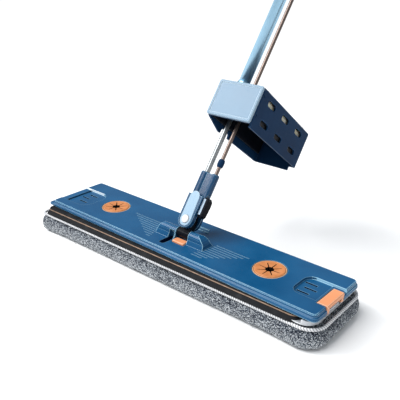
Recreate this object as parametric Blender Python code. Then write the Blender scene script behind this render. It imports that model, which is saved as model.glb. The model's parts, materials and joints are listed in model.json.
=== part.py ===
# Self-wringing flat mop: a long swivelling head with a soft pad, a sliding wringer box
# on twin rods, and a telescoping handle tube. Metres, +Z up, pad sole on Z = 0.
import math

import bmesh
import bpy
from mathutils import Matrix, Vector

# ---- Driving dimensions (metres, degrees) ----
PLATE_LENGTH = 0.420
PLATE_WIDTH = 0.0862
PLATE_TOP = 0.043
COVER_BOTTOM = 0.035
COVER_SKIN = 0.003
CAVITY_HALF_LENGTH = 0.154
PAD_TOP = 0.0264
DISC_X = 0.1266
DISC_HOLE_RADIUS = 0.0197
RIB_PITCH = 0.0043
HEAD_SKEW = 1.2
LEAN_ANGLE = 37.0
LEAN_Y = -0.0094
LEAN_Z = PLATE_TOP + 0.0075
HUMP_X0 = -0.032
HUMP_X1 = 0.045
JOINT_X = 0.0094
FLIP_HEIGHT = 0.0163
SLEEVE_TOP = 0.0795
GUIDE_X = 0.0032
PULL_X = 0.0170
TUBE_RADIUS = 0.0073
TUBE_BORE = 0.0067
ROD_RADIUS = 0.0033
PULL_RADIUS = 0.0024
BOX_X0 = -0.0120
BOX_X1 = 0.0525
BOX_Y0 = -0.0270
BOX_Y1 = 0.1075
BOX_Z0 = 0.1436
BOX_Z1 = 0.1896
BOX_WALL = 0.0022
ROLLER_X = 0.0405
ROLLER_RADIUS = 0.0072
UPPER_ROLLER_Z = 0.1795
LOWER_ROLLER_Z = 0.1555
TUBE_TOP = 1.190
GRIP_START = 1.020
SLIDE_GRIP_START = 0.600
SLIDE_GRIP_END = 0.735
GAP = 0.0003

for old in list(bpy.data.objects):
    bpy.data.objects.remove(old)

MATERIALS = {
    "blue_gloss": ((0.035, 0.150, 0.340, 1.0), 0.0, 0.28),
    "blue_light": ((0.250, 0.480, 0.720, 1.0), 0.0, 0.30),
    "blue_dark": ((0.020, 0.055, 0.140, 1.0), 0.0, 0.35),
    "blue_tube": ((0.120, 0.330, 0.520, 1.0), 0.3, 0.25),
    "black": ((0.015, 0.015, 0.018, 1.0), 0.0, 0.50),
    "strip_rubber": ((0.025, 0.022, 0.022, 1.0), 0.0, 0.75),
    "tan_bead": ((0.350, 0.240, 0.160, 1.0), 0.0, 0.60),
    "silver": ((0.550, 0.560, 0.580, 1.0), 0.6, 0.30),
    "steel": ((0.560, 0.550, 0.540, 1.0), 1.0, 0.28),
    "orange": ((0.900, 0.360, 0.110, 1.0), 0.0, 0.45),
    "pale": ((0.750, 0.740, 0.700, 1.0), 0.0, 0.45),
    "white": ((0.850, 0.860, 0.870, 1.0), 0.0, 0.35),
    "cream_foam": ((0.780, 0.730, 0.600, 1.0), 0.0, 0.80),
    "pad_grey": ((0.300, 0.300, 0.310, 1.0), 0.0, 0.95),
    "piping_white": ((0.820, 0.820, 0.800, 1.0), 0.0, 0.90),
    "grip_black": ((0.020, 0.020, 0.022, 1.0), 0.0, 0.85),
}


def material(slot, name):
    """A new Principled material called name with the colour, metal and roughness of slot."""
    color, metallic, roughness = MATERIALS[slot]
    made = bpy.data.materials.new(name)
    made.use_nodes = True
    shader = made.node_tree.nodes["Principled BSDF"]
    shader.inputs["Base Color"].default_value = color
    shader.inputs["Metallic"].default_value = metallic
    shader.inputs["Roughness"].default_value = roughness
    return made


def make(name, bm):
    """Object called name from the closed shape in bm, with faces turned outwards."""
    bmesh.ops.recalc_face_normals(bm, faces=bm.faces[:])
    mesh = bpy.data.meshes.new(name)
    bm.to_mesh(mesh)
    bm.free()
    item = bpy.data.objects.new(name, mesh)
    bpy.context.scene.collection.objects.link(item)
    return item


def stack(name, layers):
    """Closed solid through horizontal outlines, each an (outline, height) pair."""
    bm = bmesh.new()
    rings = []
    for outline, height in layers:
        rings.append([bm.verts.new((x, y, height)) for x, y in outline])
    count = len(rings[0])
    for low, high in zip(rings, rings[1:]):
        for k in range(count):
            bm.faces.new((low[k], low[(k + 1) % count], high[(k + 1) % count], high[k]))
    bm.faces.new(rings[0])
    bm.faces.new(rings[-1])
    return make(name, bm)


def prism(name, outline, low, high):
    """Straight extrusion of an outline in X and Y between two heights."""
    return stack(name, [(outline, low), (outline, high)])


def block(name, x0, x1, y0, y1, z0, z1):
    """Box between two corners."""
    return prism(name, [(x0, y0), (x1, y0), (x1, y1), (x0, y1)], z0, z1)


def rounded(half_x, half_y, radius, steps=5, cx=0.0, cy=0.0):
    """Outline of a rectangle with rounded corners."""
    points = []
    for sx, sy, start in ((1, 1, 0), (-1, 1, 90), (-1, -1, 180), (1, -1, 270)):
        for k in range(steps + 1):
            angle = math.radians(start + 90.0 * k / steps)
            px = cx + sx * (half_x - radius) + radius * math.cos(angle)
            py = cy + sy * (half_y - radius) + radius * math.sin(angle)
            points.append((px, py))
    return points


def slab(x0, x1, half_y, left, right, steps=6):
    """Outline from x0 to x1 with one corner radius at its left end and another at its right."""
    points = []
    for sx, sy, start, radius in ((1, 1, 0, right), (-1, 1, 90, left), (-1, -1, 180, left), (1, -1, 270, right)):
        cx = x1 - radius if sx > 0 else x0 + radius
        for k in range(steps + 1):
            angle = math.radians(start + 90.0 * k / steps)
            points.append((cx + radius * math.cos(angle), sy * (half_y - radius) + radius * math.sin(angle)))
    return points


def lathe(name, profile, sides=24, closed=False):
    """Solid turned about Z from (radius, height) points; closed makes a ring."""
    bm = bmesh.new()
    rings = []
    for radius, height in profile:
        if radius < 1e-7:
            rings.append([bm.verts.new((0.0, 0.0, height))])
            continue
        ring = []
        for k in range(sides):
            angle = 2.0 * math.pi * k / sides
            ring.append(bm.verts.new((radius * math.cos(angle), radius * math.sin(angle), height)))
        rings.append(ring)
    pairs = list(zip(rings, rings[1:]))
    if closed:
        pairs.append((rings[-1], rings[0]))
    for low, high in pairs:
        for k in range(sides):
            n = (k + 1) % sides
            if len(low) == 1:
                bm.faces.new((low[0], high[n], high[k]))
            elif len(high) == 1:
                bm.faces.new((low[k], low[n], high[0]))
            else:
                bm.faces.new((low[k], low[n], high[n], high[k]))
    if not closed:
        for ring in (rings[0], rings[-1]):
            if len(ring) > 1:
                bm.faces.new(ring)
    return make(name, bm)


def rod(name, radius, low, high, sides=20, edge=0.0004):
    """Cylinder about Z, with a small chamfer at both ends unless edge is zero."""
    profile = [(radius, low), (radius, high)]
    if edge > 0.0:
        profile = [(radius - edge, low), (radius, low + edge), (radius, high - edge), (radius - edge, high)]
    return lathe(name, profile, sides)


def pipe(name, outer, inner, low, high, sides=24):
    """Straight tube about Z."""
    return lathe(name, [(outer, low), (outer, high), (inner, high), (inner, low)], sides, closed=True)


def ring_sweep(name, path, height, radius, sides=8):
    """Round cord following a closed outline at one height."""
    bm = bmesh.new()
    rings = []
    count = len(path)
    for k in range(count):
        before = Vector(path[k - 1])
        after = Vector(path[(k + 1) % count])
        along = (after - before).normalized()
        side = Vector((along.y, -along.x))
        ring = []
        for j in range(sides):
            angle = 2.0 * math.pi * (j + 0.5) / sides
            out = radius * math.cos(angle)
            ring.append(bm.verts.new((path[k][0] + side.x * out, path[k][1] + side.y * out,
                                      height + radius * math.sin(angle))))
        rings.append(ring)
    for k in range(count):
        low, high = rings[k], rings[(k + 1) % count]
        for j in range(sides):
            n = (j + 1) % sides
            bm.faces.new((low[j], low[n], high[n], high[j]))
    return make(name, bm)


def move(item, x=0.0, y=0.0, z=0.0, turn=None, axis="X"):
    """Moves the mesh of item, after turning it by degrees about an axis."""
    if turn is not None:
        item.data.transform(Matrix.Rotation(math.radians(turn), 4, axis))
    item.data.transform(Matrix.Translation((x, y, z)))
    return item


def combine(item, tools, operation="DIFFERENCE"):
    """Applies a Boolean with each tool in turn and removes the tools."""
    for tool in tools:
        step = item.modifiers.new("shape", "BOOLEAN")
        step.solver = "EXACT"
        step.operation = operation
        step.object = tool
        bpy.context.view_layer.update()
        graph = bpy.context.evaluated_depsgraph_get()
        mesh = bpy.data.meshes.new_from_object(item.evaluated_get(graph))
        item.modifiers.clear()
        item.data = mesh
        bpy.data.objects.remove(tool)
    return item


def combined_boxes(name, boxes):
    """One tool mesh made of separate boxes."""
    bm = bmesh.new()
    for x0, x1, y0, y1, z0, z1 in boxes:
        low = [bm.verts.new(p) for p in ((x0, y0, z0), (x1, y0, z0), (x1, y1, z0), (x0, y1, z0))]
        high = [bm.verts.new(p) for p in ((x0, y0, z1), (x1, y0, z1), (x1, y1, z1), (x0, y1, z1))]
        bm.faces.new(low)
        bm.faces.new(high)
        for k in range(4):
            bm.faces.new((low[k], low[(k + 1) % 4], high[(k + 1) % 4], high[k]))
    return make(name, bm)


def finish(item, slot, smooth=32.0):
    """Names the mesh, gives the material and shades the round faces smooth."""
    item.data.name = item.name
    item.data.materials.clear()
    item.data.materials.append(material(slot, item.name))
    item.data.shade_smooth()
    item.data.set_sharp_from_angle(angle=math.radians(smooth))
    return item


def on_head(item, slot, origin=(0.0, 0.0, 0.0), smooth=32.0):
    """Finishes a piece modelled in place, with its origin at the given point."""
    item.data.transform(Matrix.Translation([-c for c in origin]))
    item.location = origin
    return finish(item, slot, smooth)


def on_pole(item, slot, origin=(0.0, 0.0, 0.0), smooth=32.0):
    """Finishes a piece modelled in the pole's frame: X across, Y back, Z up the pole."""
    item.data.transform(Matrix.Translation([-c for c in origin]))
    turn = Matrix.Rotation(math.radians(-LEAN_ANGLE), 4, "X")
    item.location = Vector((0.0, LEAN_Y, LEAN_Z)) + turn @ Vector(origin)
    item.rotation_euler = (math.radians(-LEAN_ANGLE), 0.0, 0.0)
    return finish(item, slot, smooth)


# ---- Cover plate: ribbed blue top with a bearing hump, disc holes and end recesses ----
half_l = PLATE_LENGTH / 2.0
half_w = PLATE_WIDTH / 2.0
cover = stack("cover_plate", [
    (rounded(half_l + 0.0016, half_w + 0.0016, 0.0060), COVER_BOTTOM),
    (rounded(half_l + 0.0018, half_w + 0.0018, 0.0062), COVER_BOTTOM + 0.0010),
    (rounded(half_l + 0.0014, half_w + 0.0014, 0.0058), COVER_BOTTOM + 0.0036),
    (rounded(half_l, half_w, 0.0045), COVER_BOTTOM + 0.0046),
    (rounded(half_l, half_w, 0.0045), PLATE_TOP - 0.0010),
    (rounded(half_l - 0.0009, half_w - 0.0009, 0.0036), PLATE_TOP),
])
hump_side = [(LEAN_Y - 0.0105, PLATE_TOP - 0.0015), (LEAN_Y - 0.0066, PLATE_TOP + 0.0052)]
for k in range(9):
    angle = math.radians(165.0 - 150.0 * k / 8.0)
    hump_side.append((LEAN_Y + 0.0062 * math.cos(angle), LEAN_Z + 0.0062 * math.sin(angle)))
hump_side += [(LEAN_Y + 0.0066, PLATE_TOP + 0.0052), (LEAN_Y + 0.0105, PLATE_TOP - 0.0015)]
hump = prism("hump", hump_side, HUMP_X0, HUMP_X1)
hump.data.transform(Matrix(((0, 0, 1, 0), (1, 0, 0, 0), (0, 1, 0, 0), (0, 0, 0, 1))))
ends = [(HUMP_X0 - 0.001, PLATE_TOP - 0.003), (HUMP_X0 + 0.0005, PLATE_TOP)]
for k in range(7):
    angle = math.radians(170.0 - 80.0 * k / 6.0)
    ends.append((HUMP_X0 + 0.0120 + 0.0115 * math.cos(angle), PLATE_TOP + 0.0145 * math.sin(angle)))
for k in range(9):
    angle = math.radians(90.0 - 84.0 * k / 8.0)
    ends.append((HUMP_X1 - 0.0190 + 0.0185 * math.cos(angle), PLATE_TOP + 0.0145 * math.sin(angle)))
ends += [(HUMP_X1 + 0.001, PLATE_TOP - 0.003)]
end_shape = prism("ends", ends, -0.03, 0.03)
end_shape.data.transform(Matrix(((1, 0, 0, 0), (0, 0, -1, 0), (0, 1, 0, 0), (0, 0, 0, 1))))
combine(hump, [end_shape], "INTERSECT")
combine(cover, [hump], "UNION")

cavity = prism("cavity", rounded(CAVITY_HALF_LENGTH, half_w - 0.0030, 0.003), COVER_BOTTOM - 0.001,
               PLATE_TOP - COVER_SKIN)
cavity_keep = block("keep", -0.034, 0.047, -0.036, 0.012, COVER_BOTTOM - 0.002, PLATE_TOP)
combine(cavity, [cavity_keep])
ribs = []
for row in range(9):
    y = 0.0035 - RIB_PITCH * row
    ribs.append((-0.0905 + 0.0068 * row, -0.0370 + 0.0010 * row, y - 0.0005, y + 0.0005,
                 PLATE_TOP - 0.0004, PLATE_TOP + 0.0003))
    ribs.append((0.0485 - 0.0012 * row, 0.0960 - 0.0052 * row, y - 0.0005, y + 0.0005,
                 PLATE_TOP - 0.0004, PLATE_TOP + 0.0003))
for x0, x1, y in ((0.0000, 0.0165, 0.0272), (0.0045, 0.0195, 0.0212)):
    ribs.append((x0, x1, y - 0.0009, y + 0.0009, PLATE_TOP - 0.0004, PLATE_TOP + 0.0012))
combine(cover, [combined_boxes("ribs", ribs)], "UNION")
combine(cover, [stack("end_flange", [
    (slab(-0.2166, -0.1900, 0.0444, 0.0022, 0.0010), COVER_BOTTOM + 0.0002),
    (slab(-0.2172, -0.1900, 0.0450, 0.0028, 0.0010), COVER_BOTTOM + 0.0008),
    (slab(-0.2172, -0.1900, 0.0450, 0.0028, 0.0010), COVER_BOTTOM + 0.0030),
    (slab(-0.2164, -0.1900, 0.0442, 0.0020, 0.0010), COVER_BOTTOM + 0.0038),
])], "UNION")
tools = [cavity]
for side in (-1, 1):
    tools.append(move(rod("disc_hole", DISC_HOLE_RADIUS, 0.030, 0.060, 36, 0.0), x=side * DISC_X))
recess = slab(-0.2500, -0.1590, 0.0230, 0.0060, 0.0150)
recess = prism("recess", recess, PLATE_TOP - 0.0030, PLATE_TOP + 0.01)
combine(recess, [block("end_bar", -0.3000, -0.2003, -0.04, 0.04, PLATE_TOP - 0.0040, PLATE_TOP - 0.0012)])
tools.append(move(recess, y=-0.0060))
tools.append(block("end_gap", -0.2003, -0.1988, -0.0285, 0.0165, PLATE_TOP - 0.0060, PLATE_TOP - 0.0020))
recess = prism("recess", slab(0.1650, 0.2500, 0.0193, 0.0110, 0.0060), PLATE_TOP - 0.0030, PLATE_TOP + 0.01)
move(recess, y=-0.0008)
combine(recess, [block("bearing", 0.1962, 0.3000, -0.04, 0.0145, PLATE_TOP - 0.01, PLATE_TOP + 0.02)])
tools.append(recess)
slots = []
for x0, x1, y in ((0.1678, 0.1822, 0.0077), (0.1722, 0.1866, -0.0018), (0.1686, 0.1830, -0.0114),
                  (-0.1872, -0.1728, -0.0144), (-0.1940, -0.1796, -0.0038), (-0.1898, -0.1754, 0.0067)):
    slots.append((x0, x1, y - 0.0012, y + 0.0012, PLATE_TOP - 0.0055, PLATE_TOP))
tools.append(combined_boxes("slots", slots))
tools.append(block("knuckle_notch", JOINT_X - 0.0100, JOINT_X + 0.0100, LEAN_Y - 0.0085, LEAN_Y + 0.0120,
                   PLATE_TOP - 0.0010, PLATE_TOP + 0.03))
tools.append(block("tab_seat", JOINT_X - 0.0098, JOINT_X + 0.0098, -0.0238, -0.0116,
                   PLATE_TOP - 0.0055, PLATE_TOP + 0.03))
pocket = prism("pocket", rounded(0.0042, 0.0122, 0.0038, 3), PLATE_TOP - 0.0055, PLATE_TOP + 0.01)
tools.append(move(pocket, x=-0.0068, y=-0.0225, turn=-4.0, axis="Z"))
tools.append(move(rod("pin_bore", 0.0021, -0.1, 0.0335, 20, 0.0), y=LEAN_Y, z=LEAN_Z, turn=90.0, axis="Y"))
tools.append(block("latch_seat", 0.1982, 0.2300, -0.0232, 0.0106, PLATE_TOP - 0.0045, PLATE_TOP + 0.01))
tools.append(block("leg_seat", 0.2080, 0.2310, -0.0232, 0.0106, COVER_BOTTOM - 0.001, PLATE_TOP - 0.0040))
latch_bore = rod("latch_bore", 0.00085, -0.0262, 0.0136, 12, 0.0)
tools.append(move(latch_bore, x=0.2005, z=PLATE_TOP - 0.0022, turn=-90.0, axis="X"))
combine(cover, tools)
on_head(cover, "blue_gloss")

# ---- Head stack: rubber strip, its bead, the silver carrier plate, the pad and its piping ----
def skewed(item, slot, smooth=32.0):
    """Finishes a piece of the stack under the cover, which sits at a small angle to it."""
    return on_head(move(item, turn=HEAD_SKEW, axis="Z"), slot, smooth=smooth)


strip = stack("rubber_strip", [
    (slab(-0.2125, 0.1934, 0.0520, 0.0050, 0.0140), 0.0268),
    (slab(-0.2125, 0.1934, 0.0520, 0.0050, 0.0140), 0.0274),
    (slab(-0.2112, 0.1921, 0.0486, 0.0046, 0.0120), 0.0312),
    (slab(-0.2104, 0.1913, 0.0472, 0.0042, 0.0112), 0.0314),
    (slab(-0.2104, 0.1913, 0.0472, 0.0042, 0.0112), 0.0330),
    (slab(-0.2112, 0.1921, 0.0478, 0.0046, 0.0116), 0.0332),
    (slab(-0.2106, 0.1915, 0.0468, 0.0044, 0.0112), 0.0347),
])
combine(strip, [
    prism("tray_room", slab(-0.2085, 0.1902, 0.0445, 0.0050, 0.0080), 0.0200, 0.0288),
    prism("tray_room", slab(0.1600, 0.2100, 0.0499, 0.0040, 0.0160), 0.0200, 0.0288),
])
skewed(strip, "strip_rubber")
bead = ring_sweep("strip_bead", slab(-0.2111, 0.1920, 0.0479, 0.0048, 0.0118, 7), 0.0322, 0.00072, 8)
skewed(bead, "tan_bead")
plate = prism("carrier_plate", slab(-0.2082, 0.1850, 0.0442, 0.0050, 0.0080), 0.0267, 0.0285)
tray_end = stack("tray_end", [
    (slab(0.1603, 0.2072, 0.0490, 0.0040, 0.0154), 0.0267),
    (slab(0.1603, 0.2078, 0.0496, 0.0040, 0.0160), 0.0273),
    (slab(0.1603, 0.2078, 0.0496, 0.0040, 0.0160), 0.0320),
    (slab(0.1603, 0.2073, 0.0491, 0.0040, 0.0155), 0.0325),
])
combine(tray_end, [
    prism("hollow", slab(0.1500, 0.2054, 0.0472, 0.0040, 0.0140), 0.0285, 0.0400),
    block("clear", 0.1500, 0.1945, -0.06, 0.06, 0.0285, 0.0400),
    combined_boxes("gaps", [(0.2000, 0.2200, -0.0262, -0.0170, 0.0285, 0.0400),
                            (0.2000, 0.2200, 0.0040, 0.0130, 0.0285, 0.0400)]),
])
combine(plate, [tray_end], "UNION")
skewed(plate, "silver")
pad_layers = []
for out, z in ((0.0012, 0.0), (0.0040, 0.0018), (0.0054, 0.0055), (0.0058, 0.0100), (0.0050, 0.0155),
               (0.0030, 0.0195), (0.0006, 0.0218), (-0.0022, 0.0228), (-0.0022, PAD_TOP)):
    pad_layers.append((slab(-0.2153 - out, 0.2091 + out, 0.0506 + out, 0.0075 + out, 0.0200 + out, 7), z))
skewed(stack("mop_pad", pad_layers), "pad_grey", 60.0)
piping = ring_sweep("pad_piping", slab(-0.2153, 0.2091, 0.0506, 0.0075, 0.0200, 9), 0.0243, 0.0018, 10)
skewed(piping, "piping_white", 60.0)

# ---- Cleaning-cloth clamp discs: soft star inserts in pale rims ----
for side, word in ((-1, "left"), (1, "right")):
    star = []
    for k in range(8):
        angle = math.radians(45.0 * k)
        away = Vector((math.cos(angle), math.sin(angle)))
        across = Vector((-away.y, away.x))
        star.append(tuple(away * 0.0135 - across * 0.0005))
        star.append(tuple(away * 0.0135 + across * 0.0005))
        star.append(tuple(away * 0.0050 + across * 0.0007))
        middle = math.radians(45.0 * k + 22.5)
        star.append((0.0050 * math.cos(middle), 0.0050 * math.sin(middle)))
        following = math.radians(45.0 * (k + 1))
        away = Vector((math.cos(following), math.sin(following)))
        across = Vector((-away.y, away.x))
        star.append(tuple(away * 0.0050 - across * 0.0007))
    disc = lathe("clamp_disc_" + word, [(0.0, 0.0387), (0.0178, 0.0387), (0.0178, 0.0430), (0.0168, 0.0436),
                                        (0.0080, 0.0430), (0.0, 0.0428)], 32)
    combine(disc, [prism("star", star, 0.030, 0.060)])
    on_head(move(disc, x=side * DISC_X), "orange")
    rim = lathe("disc_rim_" + word, [(0.0181, 0.0387), (0.0191, 0.0387), (0.0191, 0.0424), (0.0189, 0.0428),
                                     (0.0184, 0.0429), (0.0181, 0.0427)], 36, closed=True)
    on_head(move(rim, x=side * DISC_X), "pale")

# ---- Orange end latch, which lifts about a cross pin ----
latch_z = PLATE_TOP - 0.0022
profile = [(0.1986, PLATE_TOP - 0.0030), (0.2005, PLATE_TOP - 0.0041), (0.2076, PLATE_TOP - 0.0018),
           (0.2084, PLATE_TOP - 0.0026), (0.2084, COVER_BOTTOM - 0.0014), (0.2110, COVER_BOTTOM - 0.0014),
           (0.2118, PLATE_TOP - 0.0008), (0.2108, PLATE_TOP + 0.0008), (0.2002, PLATE_TOP + 0.0008),
           (0.1988, PLATE_TOP - 0.0004)]
latch = prism("end_latch", profile, -0.0103, 0.0229)
latch.data.transform(Matrix(((1, 0, 0, 0), (0, 0, -1, 0), (0, 1, 0, 0), (0, 0, 0, 1))))
window = block("window", 0.2060, 0.2200, -0.0185, 0.0060, COVER_BOTTOM - 0.003, PLATE_TOP - 0.0036)
bore = rod("bore", 0.0009, -0.03, 0.02, 12, 0.0)
move(bore, x=0.2005, z=latch_z, turn=-90.0, axis="X")
combine(latch, [window, bore])
on_head(latch, "orange", (0.2005, -0.0063, latch_z))
latch_pin = rod("latch_pin", 0.0008, -0.0260, 0.0134, 12, 0.0002)
on_head(move(latch_pin, x=0.2005, z=latch_z, turn=-90.0, axis="X"), "steel")

# ---- Orange press tab in front of the knuckle ----
tab = stack("press_tab", [
    (rounded(0.0088, 0.0046, 0.0012, 2, JOINT_X, -0.0178), PLATE_TOP - 0.0034),
    (rounded(0.0092, 0.0054, 0.0014, 2, JOINT_X, -0.0178), PLATE_TOP - 0.0028),
    (rounded(0.0092, 0.0050, 0.0014, 2, JOINT_X, -0.0180), PLATE_TOP + 0.0008),
    (rounded(0.0086, 0.0042, 0.0012, 2, JOINT_X, -0.0182), PLATE_TOP + 0.0018),
])
on_head(tab, "orange", (JOINT_X, -0.0178, PLATE_TOP - 0.0034))

# ---- Lean pin and the black knuckle that turns on it ----
lean_pin = rod("lean_pin", 0.0020, -0.0240, 0.0330, 20)
on_head(move(lean_pin, y=LEAN_Y, z=LEAN_Z, turn=90.0, axis="Y"), "steel")

knuckle = move(rod("knuckle", 0.0054, JOINT_X - 0.0096, JOINT_X + 0.0096, 28, 0.0005), turn=90.0, axis="Y")
tongue = prism("tongue", [(JOINT_X - 0.0080, 0.0), (JOINT_X + 0.0080, 0.0), (JOINT_X + 0.0072, 0.0190),
                          (JOINT_X + 0.0045, 0.0240), (JOINT_X - 0.0045, 0.0240), (JOINT_X - 0.0072, 0.0190)],
               -0.0046, 0.0046)
tongue.data.transform(Matrix(((1, 0, 0, 0), (0, 0, -1, 0), (0, 1, 0, 0), (0, 0, 0, 1))))
combine(knuckle, [tongue], "UNION")
combine(knuckle, [
    move(rod("bore", 0.0021, -0.02, 0.04, 20, 0.0), turn=90.0, axis="Y"),
    move(rod("bore", 0.0026, -0.02, 0.02, 20, 0.0), x=JOINT_X, z=FLIP_HEIGHT, turn=-90.0, axis="X"),
])
on_pole(knuckle, "black")

# ---- Flip pin, the sleeve with its fork cheeks, face inlay and white pin cap ----
outline = []
for k in range(13):
    angle = math.radians(180.0 + 180.0 * k / 12.0)
    outline.append((JOINT_X + 0.0104 * math.cos(angle), FLIP_HEIGHT + 0.0104 * math.sin(angle)))
outline += [(JOINT_X + 0.0106, 0.048), (JOINT_X - 0.0106, 0.048)]
sleeve = prism("sleeve", outline, -0.0090, 0.0112)
sleeve.data.transform(Matrix(((1, 0, 0, 0), (0, 0, -1, 0), (0, 1, 0, 0), (0, 0, 0, 1))))
barrels = []
for x, radius in ((GUIDE_X - 0.0004, 0.0066), (PULL_X, 0.0050)):
    barrel = lathe("barrel", [(0.0036, 0.0290), (radius, 0.0340), (radius, SLEEVE_TOP - 0.0012),
                              (radius - 0.0008, SLEEVE_TOP)], 28)
    barrels.append(move(barrel, x=x))
barrels.append(block("web", GUIDE_X, PULL_X, -0.0048, 0.0052, 0.030, SLEEVE_TOP - 0.0010))
combine(sleeve, barrels, "UNION")
combine(sleeve, [
    block("fork_gap", JOINT_X - 0.02, JOINT_X + 0.02, -0.0050, 0.0050, -0.01, 0.0288),
    move(rod("bore", 0.0026, -0.03, 0.03, 20, 0.0), x=JOINT_X, z=FLIP_HEIGHT, turn=-90.0, axis="X"),
    move(rod("rod_bore", ROD_RADIUS + 0.0001, 0.036, 0.10, 20, 0.0), x=GUIDE_X),
    move(rod("rod_bore", PULL_RADIUS + 0.0001, 0.036, 0.10, 20, 0.0), x=PULL_X),
    block("slider_seat", 0.0200, 0.0400, -0.0080, 0.0040, 0.0212, 0.0520),
])
inlay = []
for k in range(9):
    angle = math.radians(180.0 + 180.0 * k / 8.0)
    inlay.append((JOINT_X + 0.0080 * math.cos(angle), FLIP_HEIGHT + 0.0080 * math.sin(angle)))
for k in range(9):
    angle = math.radians(180.0 * k / 8.0)
    inlay.append((JOINT_X - 0.0006 + 0.0072 * math.cos(angle), 0.0455 + 0.0072 * math.sin(angle)))
seat = prism("seat", inlay, 0.0100, 0.0200)
seat.data.transform(Matrix(((1, 0, 0, 0), (0, 0, -1, 0), (0, 1, 0, 0), (0, 0, 0, 1))))
combine(sleeve, [seat])
flip = (JOINT_X, 0.0, FLIP_HEIGHT)
on_pole(sleeve, "blue_gloss", flip)
face = prism("sleeve_face", [(JOINT_X + (x - JOINT_X) * 0.955, FLIP_HEIGHT + (z - FLIP_HEIGHT) * 0.992)
                             for x, z in inlay], 0.0102, 0.0112)
face.data.transform(Matrix(((1, 0, 0, 0), (0, 0, -1, 0), (0, 1, 0, 0), (0, 0, 0, 1))))
combine(face, [move(rod("bore", 0.0054, -0.03, 0.03, 24, 0.0), x=JOINT_X, z=FLIP_HEIGHT, turn=-90.0, axis="X")])
on_pole(face, "blue_light", flip)
flip_pin = rod("flip_pin", 0.0025, -0.0088, 0.0097, 20)
on_pole(move(flip_pin, x=JOINT_X, z=FLIP_HEIGHT, turn=90.0, axis="X"), "steel", flip)
cap = lathe("pin_cap", [(0.0, 0.0101), (0.0051, 0.0101), (0.0051, 0.0120), (0.0044, 0.0127), (0.0, 0.0129)], 28)
on_pole(move(cap, x=JOINT_X, z=FLIP_HEIGHT, turn=90.0, axis="X"), "white", flip)

# ---- Release slider on the sleeve's right side ----
layers = []
for outer, half_y, z in ((0.0250, 0.0040, 0.0240), (0.0266, 0.0048, 0.0262), (0.0274, 0.0052, 0.0400),
                         (0.0270, 0.0052, 0.0462), (0.0250, 0.0042, 0.0492)):
    inner = 0.0203
    layers.append((rounded((outer - inner) / 2.0, half_y, 0.0012, 2, (outer + inner) / 2.0, -0.0020), z))
slider = stack("release_slider", layers)
combine(slider, [block("inset", 0.0190, 0.0240, -0.02, -0.0063, 0.0266, 0.0474)])
on_pole(slider, "black")
stripe = block("slider_stripe", 0.0206, 0.0237, -0.0076, -0.0066, 0.0270, 0.0470)
on_pole(stripe, "white")

# ---- Guide rod and pull rod, the stop bead and the pull grip on the handle tube ----
guide = move(rod("guide_rod", ROD_RADIUS, 0.0365, 0.420), x=GUIDE_X)
on_pole(guide, "steel")
pull = move(rod("pull_rod", PULL_RADIUS, 0.0365, SLIDE_GRIP_START + 0.060), x=PULL_X)
on_pole(pull, "steel")
bead = lathe("stop_bead", [(0.0025, 0.0895), (0.0034, 0.0899), (0.0042, 0.0925), (0.0042, 0.0968),
                           (0.0034, 0.0996), (0.0025, 0.1000)], 20, closed=True)
on_pole(move(bead, x=PULL_X), "blue_dark")
pull_grip = lathe("pull_grip", [(0.0150, SLIDE_GRIP_START), (0.0172, SLIDE_GRIP_START + 0.004),
                                (0.0165, SLIDE_GRIP_START + 0.045), (0.0158, SLIDE_GRIP_START + 0.090),
                                (0.0172, SLIDE_GRIP_END - 0.004), (0.0150, SLIDE_GRIP_END)], 28)
combine(pull_grip, [move(lathe("arm", [(0.0060, SLIDE_GRIP_START + 0.001), (0.0072, SLIDE_GRIP_START + 0.003),
                                       (0.0072, SLIDE_GRIP_START + 0.060), (0.0050, SLIDE_GRIP_START + 0.076)],
                               20), x=PULL_X)], "UNION")
combine(pull_grip, [
    rod("bore", TUBE_RADIUS + 0.0003, SLIDE_GRIP_START - 0.01, SLIDE_GRIP_END + 0.01, 24, 0.0),
    move(rod("bore", PULL_RADIUS + 0.0001, SLIDE_GRIP_START - 0.01, SLIDE_GRIP_START + 0.0605, 20, 0.0), x=PULL_X),
])
on_pole(pull_grip, "grip_black")

# ---- Wringer box: open-bottomed shell with drain slots and a low left skirt ----
box_x = (BOX_X0 + BOX_X1) / 2.0
box_y = (BOX_Y0 + BOX_Y1) / 2.0
half_x = (BOX_X1 - BOX_X0) / 2.0
half_y = (BOX_Y1 - BOX_Y0) / 2.0
shell = stack("wringer_box", [
    (rounded(half_x, half_y, 0.0030, 3, box_x, box_y), 0.1340),
    (rounded(half_x, half_y, 0.0030, 3, box_x, box_y), BOX_Z1 - 0.0014),
    (rounded(half_x - 0.0012, half_y - 0.0012, 0.0022, 3, box_x, box_y), BOX_Z1),
])
inside = prism("inside", rounded(half_x - BOX_WALL, half_y - BOX_WALL, 0.0020, 2, box_x, box_y), 0.12,
               BOX_Z1 - BOX_WALL)
combine(shell, [inside])
trims = [
    block("trim", BOX_X0 - 0.01, BOX_X1 + 0.01, BOX_Y0 - 0.01, BOX_Y0 + 0.0034, 0.12, BOX_Z0),
    block("trim", BOX_X1 - 0.0100, BOX_X1 + 0.01, BOX_Y0 - 0.01, BOX_Y1 + 0.01, 0.12, BOX_Z0 - 0.0040),
]
notch = prism("notch", [(-0.0255, 0.12), (0.0030, 0.12), (0.0030, 0.1345), (-0.0255, BOX_Z0)], -0.02, 0.0)
notch.data.transform(Matrix(((0, 0, 1, 0), (1, 0, 0, 0), (0, 1, 0, 0), (0, 0, 0, 1))))
trims.append(notch)
notch = prism("notch", [(0.0075, 0.12), (0.0300, 0.12), (0.0270, 0.1385), (0.0235, 0.1415), (0.0120, 0.1415),
                        (0.0085, 0.1385)], -0.02, 0.0)
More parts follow.
